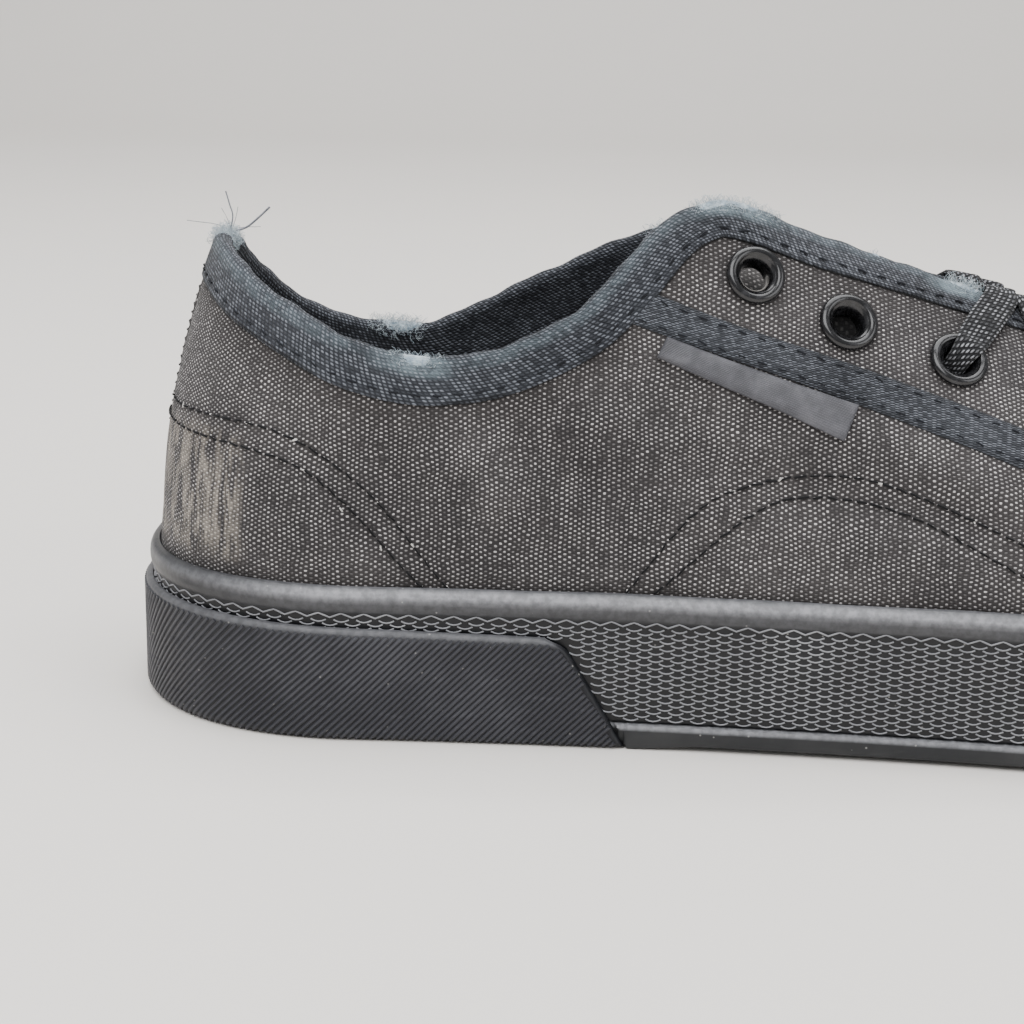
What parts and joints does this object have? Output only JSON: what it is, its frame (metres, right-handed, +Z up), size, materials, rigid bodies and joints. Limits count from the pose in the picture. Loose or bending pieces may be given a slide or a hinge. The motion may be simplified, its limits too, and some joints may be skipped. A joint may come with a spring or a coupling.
{
  "type": "worn canvas sneaker",
  "caption": "Worn low-cut lace-up canvas sneaker, right foot, with a frayed taped collar, black enamelled eyelets, a wave-textured rubber sidewall and a ribbed heel bumper.",
  "frame": {"origin": "middle of the footprint's bounding box, on the floor", "axes": "+X from the heel to the toe, +Y to the big-toe side, +Z up"},
  "size_m": [0.2914, 0.107, 0.0879],
  "materials": {
    "canvas": "coarse plain-weave canvas, faded brown-black with pale yarn specks",
    "tongue_canvas": "the same canvas, bound with tape at its top",
    "lining": "plain grey-brown cotton lining",
    "tape": "blue-grey twill tape, frayed to pale cotton at the edges",
    "thread": "black sewing thread",
    "fray": "pale blue-grey cotton fluff of worn-through tape",
    "tag": "matt dark grey suede-like tab, blank",
    "sidewall_rubber": "satin black moulded rubber with a dusty wave texture",
    "bumper_rubber": "satin black rubber with fine slanted ribs",
    "tread_rubber": "dull black rubber, dusty underneath",
    "enamel": "glossy black enamelled metal",
    "braid": "flat black braided lace with pale flecks"
  },
  "bodies": {
    "root": {"upper": "canvas", "foxing_midsole": "sidewall_rubber", "outsole": "tread_rubber", "heel_bumper": "bumper_rubber", "insole": "lining", "tongue": "tongue_canvas", "eyelet_lateral_1": "enamel", "eyelet_medial_1": "enamel", "eyelet_lateral_2": "enamel", "eyelet_medial_2": "enamel", "eyelet_lateral_3": "enamel", "eyelet_medial_3": "enamel", "eyelet_lateral_4": "enamel", "eyelet_medial_4": "enamel", "eyelet_lateral_5": "enamel", "eyelet_medial_5": "enamel", "eyelet_lateral_6": "enamel", "eyelet_medial_6": "enamel", "lace_cross_1": "braid", "lace_cross_2": "braid", "lace_cross_3": "braid", "lace_bar": "braid"}
  },
  "joints": []
}
